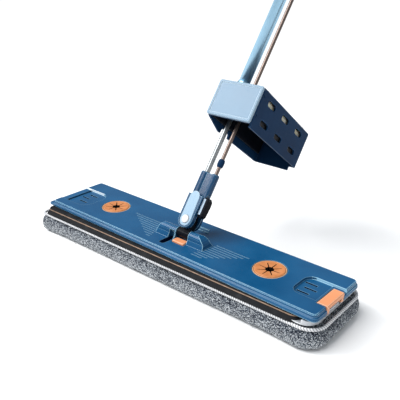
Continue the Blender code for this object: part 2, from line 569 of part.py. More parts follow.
notch.data.transform(Matrix(((0, 0, 1, 0), (1, 0, 0, 0), (0, 1, 0, 0), (0, 0, 0, 1))))
trims.append(notch)
drains = []
for z in (0.1788, 0.1536):
    for y in (0.0006, 0.0392, 0.0790):
        hole = prism("drain", rounded(0.0098, 0.0038, 0.0034, 4), BOX_X1 - 0.01, BOX_X1 + 0.01)
        hole.data.transform(Matrix(((0, 0, 1, 0), (1, 0, 0, y), (0, 1, 0, z), (0, 0, 0, 1))))
        drains.append(hole)
for z in (0.1803, 0.1557):
    hole = prism("slot", rounded(0.0011, 0.0024, 0.0008, 2), BOX_X1 - 0.01, BOX_X1 + 0.01)
    hole.data.transform(Matrix(((0, 0, 1, 0), (1, 0, 0, -0.0215), (0, 1, 0, z), (0, 0, 0, 1))))
    drains.append(hole)
holes = [
    rod("tube_hole", TUBE_RADIUS + 0.0002, BOX_Z1 - 0.01, BOX_Z1 + 0.01, 24, 0.0),
    move(rod("rod_hole", 0.0045, BOX_Z1 - 0.01, BOX_Z1 + 0.01, 20, 0.0), x=PULL_X),
]
for z in (UPPER_ROLLER_Z, LOWER_ROLLER_Z):
    bore = rod("axle_bore", 0.0021, BOX_Y0 - 0.01, BOX_Y1 + 0.01, 16, 0.0)
    holes.append(move(bore, x=ROLLER_X, z=z, turn=-90.0, axis="X"))
combine(shell, trims + drains + holes)
on_pole(shell, "blue_dark")

# ---- Light-blue front panel with a raised rim, on the box's front wall ----
front_z = (BOX_Z0 + BOX_Z1) / 2.0
panel = stack("front_panel", [
    (rounded(half_x, 0.0230, 0.0026, 3, box_x, 0.0), 0.0),
    (rounded(half_x, 0.0230, 0.0026, 3, box_x, 0.0), 0.0022),
    (rounded(half_x - 0.0008, 0.0222, 0.0020, 3, box_x, 0.0), 0.0030),
    (rounded(half_x - 0.0030, 0.0200, 0.0016, 3, box_x, 0.0), 0.0030),
    (rounded(half_x - 0.0036, 0.0194, 0.0014, 3, box_x, 0.0), 0.0022),
])
panel.data.transform(Matrix(((1, 0, 0, 0), (0, 0, -1, BOX_Y0 - GAP), (0, 1, 0, front_z), (0, 0, 0, 1))))
on_pole(panel, "blue_light")

# ---- Rollers on steel axles, the pale wiper bar and the roller bracket inside the box ----
for word, z in (("upper", UPPER_ROLLER_Z), ("lower", LOWER_ROLLER_Z)):
    roller = pipe("squeeze_roller_" + word, ROLLER_RADIUS, 0.0021, -0.0215, 0.1020, 28)
    move(roller, x=ROLLER_X, z=z, turn=-90.0, axis="X")
    on_pole(roller, "cream_foam" if word == "upper" else "grip_black", (ROLLER_X, 0.0400, z))
    axle = rod("roller_axle_" + word, 0.0020, BOX_Y0 + 0.0002, BOX_Y1 + 0.0012, 16)
    on_pole(move(axle, x=ROLLER_X, z=z, turn=-90.0, axis="X"), "steel")
wiper = stack("wiper_bar", [
    (rounded(0.0016, 0.0600, 0.0010, 2, -0.0070, box_y), 0.1440),
    (rounded(0.0022, 0.0600, 0.0012, 2, -0.0071, box_y), 0.1470),
    (rounded(0.0022, 0.0600, 0.0012, 2, -0.0071, box_y), 0.1720),
])
combine(wiper, [block("rail", -0.0092, -0.0048, -0.0200, 0.1010, 0.1719, 0.1760)], "UNION")
on_pole(wiper, "black")
for word, y in (("front", -0.0120), ("back", 0.0920)):
    head = lathe("box_screw_" + word, [(0.0, 0.0), (0.0030, 0.0), (0.0030, 0.0009), (0.0022, 0.0016),
                                       (0.0, 0.0018)], 16)
    move(head, x=0.0465, y=y, z=BOX_Z1 + GAP)
    combine(head, [block("drive", 0.0445, 0.0485, y - 0.0004, y + 0.0004, BOX_Z1 + 0.0013, BOX_Z1 + 0.01)])
    on_pole(head, "steel")

# ---- Flared tube collar, the handle tube, the rod grommet, top grip and hanging cap ----
collar = lathe("tube_collar", [(0.0076, BOX_Z1 + GAP), (0.0118, BOX_Z1 + GAP), (0.0110, BOX_Z1 + 0.0018),
                               (0.0092, BOX_Z1 + 0.0060), (0.0083, BOX_Z1 + 0.0110), (0.0076, BOX_Z1 + 0.0112)],
               28, closed=True)
flat = block("rod_clear", PULL_X - 0.0052, 0.03, -0.02, 0.02, BOX_Z1 - 0.01, BOX_Z1 + 0.03)
combine(collar, [flat])
on_pole(collar, "blue_tube")
tube = pipe("handle_tube", TUBE_RADIUS, TUBE_BORE, BOX_Z1 - 0.0090, TUBE_TOP - 0.0250, 28)
on_pole(tube, "blue_tube")
grommet = lathe("rod_grommet", [(0.0026, BOX_Z1 - 0.0040), (0.0041, BOX_Z1 - 0.0040), (0.0041, BOX_Z1 + GAP),
                                (0.0047, BOX_Z1 + GAP), (0.0044, BOX_Z1 + 0.0024), (0.0032, BOX_Z1 + 0.0034),
                                (0.0026, BOX_Z1 + 0.0034)], 20, closed=True)
on_pole(move(grommet, x=PULL_X), "black")
ribs = [(0.0136, GRIP_START), (0.0150, GRIP_START + 0.0020)]
for k in range(11):
    z = GRIP_START + 0.010 + 0.0125 * k
    ribs += [(0.0150, z), (0.0138, z + 0.0022), (0.0138, z + 0.0050), (0.0150, z + 0.0072)]
ribs += [(0.0150, TUBE_TOP - 0.0225), (0.0138, TUBE_TOP - 0.0205), (TUBE_RADIUS + GAP, TUBE_TOP - 0.0205),
         (TUBE_RADIUS + GAP, GRIP_START)]
grip = lathe("top_grip", ribs, 28, closed=True)
on_pole(grip, "grip_black")
cap_outline = [(-0.0140, 0.0), (0.0140, 0.0), (0.0135, 0.0120), (0.0100, 0.0230), (0.0050, 0.0285),
               (-0.0050, 0.0285), (-0.0100, 0.0230), (-0.0135, 0.0120)]
hanger = prism("hanging_cap", cap_outline, -0.0042, 0.0042)
hanger.data.transform(Matrix(((1, 0, 0, 0), (0, 0, -1, 0), (0, 1, 0, TUBE_TOP - 0.0185), (0, 0, 0, 1))))
combine(hanger, [lathe("base", [(0.0140, TUBE_TOP - 0.0200), (0.0148, TUBE_TOP - 0.0190),
                                (0.0148, TUBE_TOP - 0.0150), (0.0130, TUBE_TOP - 0.0120)], 28),
                 rod("plug", TUBE_BORE - 0.0002, TUBE_TOP - 0.0500, TUBE_TOP - 0.0190, 24)], "UNION")
combine(hanger, [move(rod("hang_hole", 0.0065, -0.03, 0.03, 24, 0.0), z=TUBE_TOP - 0.0040, turn=-90.0, axis="X")])
on_pole(hanger, "blue_gloss")
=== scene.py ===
import json
import math

import bmesh
import bpy
import numpy as np
from mathutils import Matrix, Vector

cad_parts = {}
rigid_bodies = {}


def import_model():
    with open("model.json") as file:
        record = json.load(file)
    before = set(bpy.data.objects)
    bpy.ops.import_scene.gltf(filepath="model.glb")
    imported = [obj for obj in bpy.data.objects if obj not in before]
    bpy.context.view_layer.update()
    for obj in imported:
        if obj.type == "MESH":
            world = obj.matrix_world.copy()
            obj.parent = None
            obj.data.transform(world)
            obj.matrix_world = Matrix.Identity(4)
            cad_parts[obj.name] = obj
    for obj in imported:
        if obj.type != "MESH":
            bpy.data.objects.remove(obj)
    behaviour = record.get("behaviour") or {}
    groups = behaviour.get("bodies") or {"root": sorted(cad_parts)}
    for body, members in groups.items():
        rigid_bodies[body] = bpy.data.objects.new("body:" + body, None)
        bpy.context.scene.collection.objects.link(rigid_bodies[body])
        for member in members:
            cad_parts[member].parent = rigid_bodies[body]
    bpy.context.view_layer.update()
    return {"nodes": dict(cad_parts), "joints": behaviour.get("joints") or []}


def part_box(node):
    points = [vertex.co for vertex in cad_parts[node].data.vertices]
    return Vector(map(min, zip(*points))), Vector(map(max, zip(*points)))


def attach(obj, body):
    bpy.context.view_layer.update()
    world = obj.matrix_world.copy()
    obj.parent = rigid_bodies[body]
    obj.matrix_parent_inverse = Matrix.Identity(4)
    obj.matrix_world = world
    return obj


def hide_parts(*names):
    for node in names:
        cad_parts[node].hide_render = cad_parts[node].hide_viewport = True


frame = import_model()
nodes = frame["nodes"]

# ---- Floor, lights and camera ----
# A plain pale floor under the mop, a large soft light from the upper left that draws the bright
# lines along the front edges, a weak fill from the right, and a dim sky that keeps gloss deep.
for old in list(bpy.data.objects):
    if old.type in {"LIGHT", "CAMERA"}:
        bpy.data.objects.remove(old)
bpy.context.scene.view_settings.view_transform = "Standard"
floor_mesh = bpy.data.meshes.new("floor")
floor_corners = [(x, y, -0.0005) for x, y in ((-9, -9), (9, -9), (9, 9), (-9, 9))]
floor_mesh.from_pydata(floor_corners, [], [(0, 1, 2, 3)])
floor = bpy.data.objects.new("floor", floor_mesh)
bpy.context.scene.collection.objects.link(floor)
floor_finish = bpy.data.materials.new("floor")
floor_finish.use_nodes = True
floor_shader = floor_finish.node_tree.nodes["Principled BSDF"]
floor_shader.inputs["Base Color"].default_value = (0.94, 0.94, 0.94, 1.0)
floor_shader.inputs["Roughness"].default_value = 1.0
floor_shader.inputs["Specular IOR Level"].default_value = 0.0
floor_mesh.materials.append(floor_finish)

world = bpy.data.worlds.new("studio")
bpy.context.scene.world = world
world.use_nodes = True
world.node_tree.nodes["Background"].inputs["Color"].default_value = (0.90, 0.95, 1.0, 1.0)
world.node_tree.nodes["Background"].inputs["Strength"].default_value = 0.42


def soft_light(name, place, target, size, power, kind="AREA"):
    """An area light, or a sun, at place, turned so that its -Z looks at target."""
    light = bpy.data.lights.new(name, kind)
    light.energy = power
    if kind == "AREA":
        light.shape = "RECTANGLE"
        light.size, light.size_y = size
    else:
        light.angle = size
    lamp = bpy.data.objects.new(name, light)
    away = np.array(place, float) - np.array(target, float)
    away /= np.linalg.norm(away)
    side = np.cross((0.0, 0.0, 1.0), away)
    side /= np.linalg.norm(side)
    over = np.cross(away, side)
    turn = np.eye(4)
    turn[:3, 0], turn[:3, 1], turn[:3, 2], turn[:3, 3] = side, over, away, place
    lamp.matrix_world = Matrix(turn.tolist())
    bpy.context.scene.collection.objects.link(lamp)


soft_light("overhead_sun", (-0.8, -1.0, 2.2), (0.0, 0.0, 0.0), math.radians(50.0), 2.6, "SUN")
soft_light("key", (-1.5, -0.95, 1.75), (0.0, 0.0, 0.1), (0.9, 0.7), 26.0)
soft_light("right_fill", (1.6, -0.4, 0.7), (0.0, 0.0, 0.1), (0.6, 0.6), 2.5)

lens = bpy.data.cameras.new("camera")
lens.sensor_width = 36.0
lens.lens = 51.32
lens.clip_start = 0.01
camera = bpy.data.objects.new("camera", lens)
yaw, pitch = math.radians(-41.32), math.radians(23.56)
level = np.array((math.sin(yaw), math.cos(yaw), 0.0))
ahead = level * math.cos(pitch) - np.array((0.0, 0.0, math.sin(pitch)))
right = np.array((math.cos(yaw), -math.sin(yaw), 0.0))
above = np.cross(right, ahead)
pose = np.eye(4)
pose[:3, 0], pose[:3, 1], pose[:3, 2] = right, above, -ahead
pose[:3, 3] = (0.42682, -0.45687, 0.36153)
camera.matrix_world = Matrix(pose.tolist())
bpy.context.scene.collection.objects.link(camera)
bpy.context.scene.camera = camera


# ---- Mop pad ----
# A thick tufted microfibre pad, sewn as a long bag with rounded corners and stuffed, so its
# sides swell. Its pile is salt-and-pepper yarn, painted darker towards its top edge as shade under the tray
# and cover, and painted paler towards the floor as light.
class Sock:
    """One output of a material's nodes. The arithmetic operators add Math nodes."""

    def __init__(self, finish, socket):
        self.finish = finish
        self.socket = socket

    def math(self, operation, first, second=0.0):
        return self.finish.add("ShaderNodeMath", {"operation": operation}, {0: first, 1: second})

    def __add__(self, other):
        return self.math("ADD", self, other)

    def __radd__(self, other):
        return self.math("ADD", other, self)

    def __sub__(self, other):
        return self.math("SUBTRACT", self, other)

    def __rsub__(self, other):
        return self.math("SUBTRACT", other, self)

    def __mul__(self, other):
        return self.math("MULTIPLY", self, other)

    def __rmul__(self, other):
        return self.math("MULTIPLY", other, self)

    def __gt__(self, other):
        return self.math("GREATER_THAN", self, other)


class Finish:
    """A material with one Principled shader. add() makes any node, feed() fills the shader's sockets."""

    def __init__(self, name, **fixed):
        self.material = bpy.data.materials.new(name)
        self.material.use_nodes = True
        self.tree = self.material.node_tree
        self.shader = self.tree.nodes["Principled BSDF"]
        for socket, value in fixed.items():
            self.shader.inputs[socket.replace("_", " ")].default_value = value

    def add(self, kind, settings=None, sockets=None, out=0):
        """The output out of a new node of that kind, with its settings made first and then its sockets."""
        node = self.tree.nodes.new(kind)
        for key, value in (settings or {}).items():
            if key == "stops":
                ramp = node.color_ramp
                for place, _ in value[1:-1]:
                    ramp.elements.new(place)
                ramp.elements[0].position = value[0][0]
                ramp.elements[-1].position = value[-1][0]
                for element, (_, colour) in zip(ramp.elements, value):
                    element.color = (*colour, 1.0)
            else:
                setattr(node, key, value)
        for key, value in (sockets or {}).items():
            if isinstance(value, Sock):
                self.tree.links.new(value.socket, node.inputs[key])
            else:
                node.inputs[key].default_value = value
        return Sock(self, node.outputs[out])

    def place(self, scale=(1.0, 1.0, 1.0), turn=(0.0, 0.0, 0.0)):
        """Object coordinates in metres, turned and then scaled."""
        coords = self.add("ShaderNodeTexCoord", out="Object")
        return self.add("ShaderNodeMapping", {"vector_type": "POINT"}, {0: coords, 2: turn, 3: scale})

    def noise(self, vector, scale, detail=2.0):
        """Smooth noise from 0 to 1; scale is its cells per metre of vector."""
        return self.add("ShaderNodeTexNoise", None, {"Vector": vector, "Scale": scale, "Detail": detail})

    def span(self, value, low, high, start=0.0, end=1.0):
        """start up to where value is low, end from where it is high, and a straight line between."""
        return self.add("ShaderNodeMapRange", {"clamp": True}, {0: value, 1: low, 2: high, 3: start, 4: end})

    def ramp(self, value, *stops):
        return self.add("ShaderNodeValToRGB", {"stops": stops}, {0: value})

    def blend(self, amount, first, second):
        """Colour first where amount is 0 and second where it is 1."""
        colours = [c if isinstance(c, Sock) else (*c, 1.0) for c in (first, second)]
        return self.add("ShaderNodeMix", {"data_type": "RGBA"},
                        {0: amount, 6: colours[0], 7: colours[1]}, out=2)

    def within(self, place, low, high):
        """1 inside the box from low to high in the coordinates place, and 0 outside it."""
        mask = None
        for axis in range(3):
            part = self.add("ShaderNodeSeparateXYZ", None, {0: place}, out=axis)
            both = (part > low[axis]) * part.math("LESS_THAN", part, high[axis])
            mask = both if mask is None else mask * both
        return mask

    def feed(self, **sockets):
        for name, value in sockets.items():
            self.tree.links.new(value.socket, self.shader.inputs[name.replace("_", " ")])
        return self.material

    def bump(self, height, distance, strength=1.0, normal=None):
        sockets = {"Height": height, "Distance": distance, "Strength": strength}
        if normal is not None:
            sockets["Normal"] = normal
        return self.add("ShaderNodeBump", None, sockets)


def surface(name, grid, along=False, caps=False):
    """A mesh whose faces are the squares between neighbouring points of grid (rows, columns, 3),
    with the last column joined to the first. along joins the last row to the first too, and caps
    adds the flat end faces on the first and last rows."""
    rows, columns = grid.shape[:2]
    number = np.arange(rows * columns).reshape(rows, columns)
    ends = [number[0].tolist(), number[-1].tolist()] if caps else []
    number = np.concatenate([number, number[:, :1]], axis=1)
    if along:
        number = np.concatenate([number, number[:1]], axis=0)
    squares = np.stack([number[:-1, :-1], number[:-1, 1:], number[1:, 1:], number[1:, :-1]], axis=-1)
    mesh = bpy.data.meshes.new(name)
    mesh.from_pydata(grid.reshape(-1, 3).tolist(), [], squares.reshape(-1, 4).tolist() + ends)
    merged = bmesh.new()
    merged.from_mesh(mesh)
    bmesh.ops.remove_doubles(merged, verts=merged.verts[:], dist=1e-7)
    bmesh.ops.recalc_face_normals(merged, faces=merged.faces[:])
    merged.to_mesh(mesh)
    merged.free()
    mesh.polygons.foreach_set("use_smooth", np.full(len(mesh.polygons), True))
    if caps:
        mesh.set_sharp_from_angle(angle=math.radians(38.0))
    piece = bpy.data.objects.new(name, mesh)
    bpy.context.scene.collection.objects.link(piece)
    return piece


# The strip, tray and pad under the cover are turned by this many degrees to it.
stack_turn = 1.2
# The edge cord's line: its left and right ends, half its depth, and its left and right corner radii.
cord_outline = (-0.2222, 0.2132, 0.0506, 0.0075, 0.0200)


def slab_line(x0, x1, half_y, left, right, count):
    """count points, evenly spaced, round a rectangle from x0 to x1 with corner radius left at its
    left end and right at its right end, and the outward direction at each: straight run, quarter
    circle, straight run and so on, all turned by the small angle of the stack under the cover."""
    length = x1 - x0 - left - right
    runs = [2.0 * half_y - 2.0 * right, length, 2.0 * half_y - 2.0 * left, length]
    total = sum(runs) + math.pi * (right + left)
    s = np.linspace(0.0, total, count, endpoint=False)
    spot = np.array((x1, right - half_y))
    place, out = np.zeros((count, 2)), np.zeros((count, 2))
    start, heading = 0.0, 0.0
    for run, radius in zip(runs, (right, left, left, right)):
        away = np.array((math.cos(heading), math.sin(heading)))
        along = np.array((-away[1], away[0]))
        on = (s >= start) & (s < start + run)
        place[on] = spot + np.outer(s[on] - start, along)
        out[on] = away
        centre = spot + along * run - away * radius
        start += run
        on = (s >= start) & (s < start + 0.5 * math.pi * radius)
        angle = heading + (s[on] - start) / radius
        ray = np.stack([np.cos(angle), np.sin(angle)], axis=1)
        place[on] = centre + ray * radius
        out[on] = ray
        start += 0.5 * math.pi * radius
        heading += 0.5 * math.pi
        spot = centre + np.array((math.cos(heading), math.sin(heading))) * radius
    skew = math.radians(stack_turn)
    swing = np.array(((math.cos(skew), math.sin(skew)), (-math.sin(skew), math.cos(skew))))
    return place @ swing, out @ swing


track, outward = slab_line(*cord_outline, 320)
# Section of the pad from its sole up to its top edge: how far outside the line of the edge cord,
# and height.
pad_section = np.array([(-0.0300, 0.0004), (-0.0120, 0.0004), (-0.0020, 0.0005), (0.0018, 0.0012),
                        (0.0040, 0.0030), (0.0054, 0.0060), (0.0060, 0.0100), (0.0056, 0.0140),
                        (0.0042, 0.0180), (0.0018, 0.0205), (-0.0020, 0.0222), (-0.0050, 0.0240),
                        (-0.0120, 0.0252), (-0.0300, 0.0254)])
# Rows further in than this depth are the same outline, drawn smaller towards the pad's middle.
rim_depth = 0.0070
pad_middle = np.array((-0.0031, 0.0))
pad_grid = np.empty((len(pad_section), len(track), 3))
reach = pad_section[:, 0][:, None, None]
pad_grid[:, :, :2] = track[None] + outward[None] * np.maximum(reach, -rim_depth)
shrink = np.clip(-(reach + rim_depth) / 0.0500, 0.0, 0.5)
pad_grid[:, :, :2] += (pad_middle - pad_grid[:, :, :2]) * shrink
pad_grid[:, :, 2] = pad_section[:, 1][:, None]
pad_skin = surface("mop_pad_core", pad_grid, caps=True)
scene = bpy.context.scene


def applied(piece):
    """The piece's mesh as its modifiers leave it, put in place of the old one."""
    bpy.context.view_layer.update()
    graph = bpy.context.evaluated_depsgraph_get()
    done = bpy.data.meshes.new_from_object(piece.evaluated_get(graph))
    piece.modifiers.clear()
    piece.data = done


remesh = pad_skin.modifiers.new("even", "REMESH")
remesh.mode = "VOXEL"
remesh.voxel_size = 0.0042
applied(pad_skin)
before = np.empty(len(pad_skin.data.vertices) * 3)
pad_skin.data.vertices.foreach_get("co", before)
before = before.reshape(-1, 3)
cloth = pad_skin.modifiers.new("stuffing", "CLOTH")
cloth.settings.quality = 5
cloth.settings.mass = 0.25
cloth.settings.use_pressure = True
cloth.settings.uniform_pressure_force = 4.0
cloth.settings.effector_weights.gravity = 0.0
cloth.point_cache.frame_start = 1
cloth.point_cache.frame_end = 20
for moment in range(1, 21):
    scene.frame_set(moment)
applied(pad_skin)
scene.frame_set(1)
after = np.empty(len(pad_skin.data.vertices) * 3)
pad_skin.data.vertices.foreach_get("co", after)
shift = after.reshape(-1, 3) - before
far = np.linalg.norm(shift, axis=1, keepdims=True)
most_swell = 0.0030
shift *= np.minimum(1.0, most_swell / np.maximum(far, 1e-9))
settled = before + shift
settled[:, 2] = np.clip(settled[:, 2], 0.0004, 0.0256)
pad_skin.data.vertices.foreach_set("co", settled.reshape(-1))
finer = pad_skin.modifiers.new("finer", "SUBSURF")
finer.levels = finer.render_levels = 2
applied(pad_skin)


def hashed(cell, seed):
    """A number from 0 to 1 for each row of whole numbers: the fraction of a large sine of their sum."""
    mixed = np.sin(cell @ np.array((127.1, 311.7, 74.7)) + seed * 19.19) * 43758.5453
    return mixed - np.floor(mixed)


def lumps(points, size, seed):
    """Value noise: hashed numbers on a cubic lattice of that size, blended smoothly between corners."""
    place = points / size
    corner = np.floor(place)
    part = place - corner
    part = part * part * (3.0 - 2.0 * part)
    total = np.zeros(len(points))
    for dx in (0, 1):
        for dy in (0, 1):
            for dz in (0, 1):
                share = np.prod(np.abs((1 - dx, 1 - dy, 1 - dz) - part), axis=1)
                total += share * hashed(corner + (dx, dy, dz), seed)
    return total


count = len(pad_skin.data.vertices)
spot = np.empty(count * 3)
facing = np.empty(count * 3)
pad_skin.data.vertices.foreach_get("co", spot)
pad_skin.data.vertices.foreach_get("normal", facing)
spot, facing = spot.reshape(-1, 3), facing.reshape(-1, 3)
# The pile: tufts 0.9 and 1.5 mm across stand up to 1.7 mm proud of the backing, and die out
# towards the top under the tray.
pile = 0.0011 * lumps(spot, 0.0015, 1.0) + 0.0006 * lumps(spot, 0.0009, 2.0)
pile *= np.clip((0.0262 - spot[:, 2]) / 0.004, 0.0, 1.0)
raised = spot + facing * pile[:, None]
raised[:, 2] = np.clip(raised[:, 2], 0.0002, 0.0262)
pad_skin.data.vertices.foreach_set("co", raised.reshape(-1))
pad_skin.data.polygons.foreach_set("use_smooth", np.full(len(pad_skin.data.polygons), True))
pad_skin.name = "mop_pad_pile"
pad_skin.data.materials.clear()

yarn = Finish("salt_and_pepper_microfibre", Roughness=0.95, Sheen_Weight=0.15, Sheen_Roughness=0.5)
yarn.shader.inputs["Specular IOR Level"].default_value = 0.1
place = yarn.place()
warped = yarn.add("ShaderNodeVectorMath", {"operation": "ADD"}, {
    0: place,
    1: yarn.add("ShaderNodeVectorMath", {"operation": "SCALE"}, {
        0: yarn.add("ShaderNodeTexNoise", None, {"Vector": place, "Scale": 1500.0}, out=1), 3: 0.0008}),
})
strand = yarn.add("ShaderNodeTexVoronoi", {"feature": "F1"}, {"Vector": warped, "Scale": 1300.0}, out=1)
strand_tone = yarn.add("ShaderNodeSeparateColor", None, {0: strand})
patch = yarn.noise(place, 160.0, 2.0)
tone = strand_tone * 0.95 + patch * 0.22 - 0.085
# Painted light and shade: the pile is painted paler near the floor and darker towards its top edge, where the
# tray and cover overhang it.
height = yarn.add("ShaderNodeSeparateXYZ", None, {0: place}, out=2)
low = yarn.span(height, 0.002, 0.023, 0.15, -0.12)
speckle = yarn.ramp(tone + low, (0.0, (0.003, 0.005, 0.012)), (0.32, (0.018, 0.025, 0.042)),
                    (0.52, (0.105, 0.125, 0.155)), (0.72, (0.360, 0.395, 0.430)),
                    (1.0, (0.840, 0.870, 0.890)))
fluff = yarn.add("ShaderNodeTexVoronoi", {"feature": "F1"}, {"Vector": warped, "Scale": 1300.0}, out=0)
yarn.feed(Base_Color=speckle, Normal=yarn.bump(fluff, 0.0012, 0.8))
pad_skin.data.materials.append(yarn.material)
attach(pad_skin, "head")
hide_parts("mop_pad")

# ---- Overlocked edge cord ----
# White thread overcast round the pad's top edge, where the pile is sewn to its backing. Each
# stitch is one rib across the cord, slanted a little, about 2.9 mm from the next.
cord_low, cord_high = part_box("pad_piping")
cord_radius = (cord_high[2] - cord_low[2]) / 2.0
cord_steps, cord_sides = 2880, 14
cord_line, cord_out = slab_line(*cord_outline, cord_steps)
stitch = np.arange(cord_steps)[:, None] / 8.0
turn = np.linspace(0.0, 2.0 * math.pi, cord_sides, endpoint=False)[None, :]
crest = np.abs(np.cos(math.pi * (stitch + 0.35 * np.sin(turn)))) ** 0.6
rib = cord_radius * (0.70 + 0.29 * crest)
cord_grid = np.empty((cord_steps, cord_sides, 3))
cord_grid[:, :, 0] = cord_line[:, 0][:, None] + cord_out[:, 0][:, None] * rib * np.cos(turn)
cord_grid[:, :, 1] = cord_line[:, 1][:, None] + cord_out[:, 1][:, None] * rib * np.cos(turn)
cord_grid[:, :, 2] = (cord_low[2] + cord_high[2]) / 2.0 + rib * np.sin(turn)
cord = surface("pad_edge_cord", cord_grid, along=True)
cord.data.attributes.new("crest", "FLOAT", "POINT").data.foreach_set("value", crest.reshape(-1))
thread = Finish("overlock_thread", Roughness=0.85, Sheen_Weight=0.25, Sheen_Roughness=0.4)
place = thread.place()
fray = thread.noise(place, 1500.0, 3.0)
soil = thread.noise(place, 60.0, 2.0)
crest_value = thread.add("ShaderNodeAttribute", {"attribute_name": "crest"}, out=2)
between = thread.span(crest_value, 0.35, 0.75)
white_thread = thread.ramp(fray * 0.6 + soil * 0.4, (0.25, (0.48, 0.49, 0.51)), (0.45, (0.66, 0.67, 0.69)),
                           (0.62, (0.82, 0.82, 0.82)))
thread.feed(Base_Color=thread.blend(between, (0.16, 0.17, 0.19), white_thread),
            Normal=thread.bump(fray, 0.0004, 0.5))
cord.data.materials.append(thread.material)
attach(cord, "head")
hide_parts("pad_piping")


# ---- Cover plate ----
# One glossy blue moulding with fine grip grooves, a bearing hump over the cross pin and a
# stepped skirt. Moulded plastic: tiny flow marks, faint wipe scratches, softened edges carrying pale painted
# highlights.
def moulded(name, colour, accent, roughness, edge=0.0005, grain=0.00008, wear=0.03, pale_mix=0.0, edge_highlight_colour=None,
            gloss=0.35, areas=(), quiet=()):
    """Moulded plastic. Colour drifts between colour and accent over slow noise; a stretched
    noise cut off at its top draws faint scratches; the edges are rounded in the normal alone.
    Where the rounded normal leaves the true one, an edge is near: there the colour is mixed, by up to the
    given share, with a pale colour as a painted highlight along the edge, weakened to 0.28 of that inside the
    boxes quiet. Each of areas is a box and the colour painted on what lies in it, used for painted shade and
    painted highlights."""
    finish = Finish(name, IOR=1.49)
    finish.shader.inputs["Specular IOR Level"].default_value = gloss
    place = finish.place()
    drift = finish.noise(place, 26.0, 3.0)
    fine = finish.noise(place, 1900.0, 2.0)
    streak = finish.noise(finish.place((90.0, 900.0, 900.0), (0.0, 0.0, 0.35)), 1.0, 3.0)
    scratch = finish.span(streak, 0.62, 0.74)
    base = finish.blend(finish.span(drift, 0.35, 0.65), colour, accent)
    pale = tuple(min(1.0, 1.5 * c + 0.03) for c in accent)
    base = finish.blend(scratch * wear, base, pale)
    dust = finish.noise(place, 520.0, 2.0)
    speck = finish.span(dust, 0.66, 0.74, 0.0, 0.08)
    base = finish.blend(speck, base, pale)
    rough = roughness + (drift - 0.5) * 0.10 + scratch * 0.10 + (fine - 0.5) * 0.05
    rounded = finish.add("ShaderNodeBevel", {"samples": 8}, {"Radius": edge})
    if pale_mix > 0.0:
        flat = finish.add("ShaderNodeNewGeometry", out=1)
        agree = finish.add("ShaderNodeVectorMath", {"operation": "DOT_PRODUCT"}, {0: rounded, 1: flat}, out=1)
        edge_highlight_mask = finish.span(agree, 0.999, 0.94, 0.0, pale_mix)
        for low, high in quiet:
            edge_highlight_mask = edge_highlight_mask * (1.0 - 0.72 * finish.within(place, low, high))
        base = finish.blend(edge_highlight_mask, base, edge_highlight_colour)
    for low, high, tint in areas:
        base = finish.blend(finish.within(place, low, high), base, tint)
    finish.feed(Base_Color=base, Roughness=rough, Normal=finish.bump(fine, grain, 0.6, rounded))
    return finish


def wear_finish(finish, *names):
    """Gives CAD nodes one material in all their slots."""
    for name in names:
        node = nodes[name]
        node.data.materials.clear()
        node.data.materials.append(finish.material)


painted_slot_shade = (0.003, 0.012, 0.045)
# Pale painted highlights along the cover's edges, weakened in the quiet boxes on the top face, the front
# skirt and the end recesses.
blue = moulded("blue_gloss_plastic", (0.004, 0.070, 0.178), (0.007, 0.088, 0.212), 0.30, edge=0.0010,
               pale_mix=0.95, edge_highlight_colour=(0.420, 0.740, 0.880), gloss=0.25,
               quiet=[((-0.150, -0.0360, 0.0400), (0.150, 0.0300, 0.0436)),
                      ((-0.230, -0.0600, 0.0374), (0.230, -0.0365, 0.0418)),
                      ((0.150, -0.0360, 0.0300), (0.230, 0.0165, 0.0600)),
                      ((-0.230, -0.0360, 0.0300), (-0.150, 0.0155, 0.0600))],
               # Painted shade in the slots, the slit at the left end and the pocket before the hump; painted
               # highlights on the back walls of the left and right end recesses.
               areas=[((0.150, -0.0150, 0.0300), (0.1960, 0.0100, 0.0398), painted_slot_shade),
                      ((-0.1960, -0.0170, 0.0300), (-0.150, 0.0100, 0.0398), painted_slot_shade),
                      ((-0.2005, -0.0290, 0.0300), (-0.1986, 0.0172, 0.0398), painted_slot_shade),
                      ((-0.2130, 0.0155, 0.0401), (-0.1720, 0.0175, 0.0436), (0.80, 0.90, 0.95)),
                      ((0.1745, 0.0170, 0.0401), (0.2110, 0.0190, 0.0436), (0.34, 0.62, 0.80)),
                      ((-0.0115, -0.0350, 0.0300), (-0.0020, -0.0100, 0.0425), painted_slot_shade)])
wear_finish(blue, "cover_plate")

# ---- Silver carrier plate ----
# The pad is held by this grey, silver-painted tray, whose rim shows at the right end.
# Its edges carry pale painted highlights.
silver = moulded("silver_tray_paint", (0.50, 0.52, 0.55), (0.66, 0.68, 0.70), 0.27, edge=0.0008, pale_mix=0.8,
                 edge_highlight_colour=(0.92, 0.94, 0.96), gloss=0.5)
silver.shader.inputs["Metallic"].default_value = 0.25
wear_finish(silver, "carrier_plate")

# ---- Rubber strip and its bead ----
# A black extruded rubber strip closes the gap between cover and tray; a thin bead lies in
# the groove along its middle, coloured tan as a painted highlight on the strip's ridge. Rubber: dusty, matt,
# with fine lines along the extrusion.
rubber = Finish("black_strip_rubber", IOR=1.5)
rubber.shader.inputs["Specular IOR Level"].default_value = 0.15
place = rubber.place()
dusty = rubber.noise(place, 90.0, 4.0)
lines = rubber.add("ShaderNodeTexWave", {"bands_direction": "Z"}, {"Vector": place, "Scale": 420.0,
                                                                 "Distortion": 0.6, "Detail": 2.0})
rubber.feed(Base_Color=rubber.ramp(dusty, (0.30, (0.005, 0.006, 0.008)), (0.55, (0.010, 0.011, 0.013)),
                                   (0.75, (0.024, 0.025, 0.027))),
            Roughness=0.58 + dusty * 0.25, Normal=rubber.bump(lines, 0.00012, 0.4))
wear_finish(rubber, "rubber_strip")
